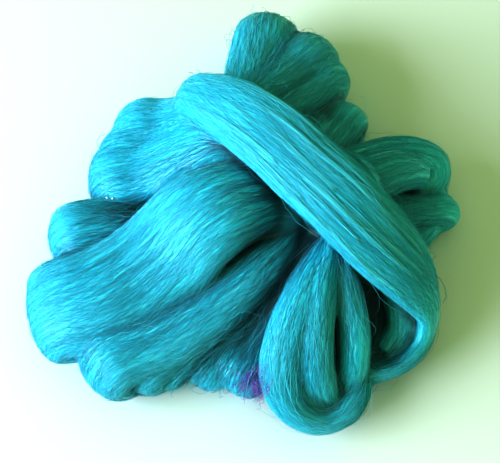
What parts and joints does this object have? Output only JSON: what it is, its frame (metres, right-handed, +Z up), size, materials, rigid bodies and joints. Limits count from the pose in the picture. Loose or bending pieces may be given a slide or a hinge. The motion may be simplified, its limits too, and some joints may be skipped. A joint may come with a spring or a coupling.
{
  "type": "wool roving",
  "caption": "Loose knot of combed wool roving: soft loops folded out from a gathered middle, with one strap of fibre crossing over the top, resting flat on a table.",
  "frame": {"origin": "middle of the footprint's bounding box, on the table top that the roving rests on", "axes": "+Z up; +X to the right and +Y away from someone who looks at the front loop, with the strap running from the back left to the front right"},
  "size_m": [0.2222, 0.2317, 0.0885],
  "materials": {
    "combed_wool": "matte combed wool fibre dyed turquoise, with a soft sheen along the fibres"
  },
  "bodies": {
    "root": {"wool_roving": "combed_wool"}
  },
  "joints": []
}
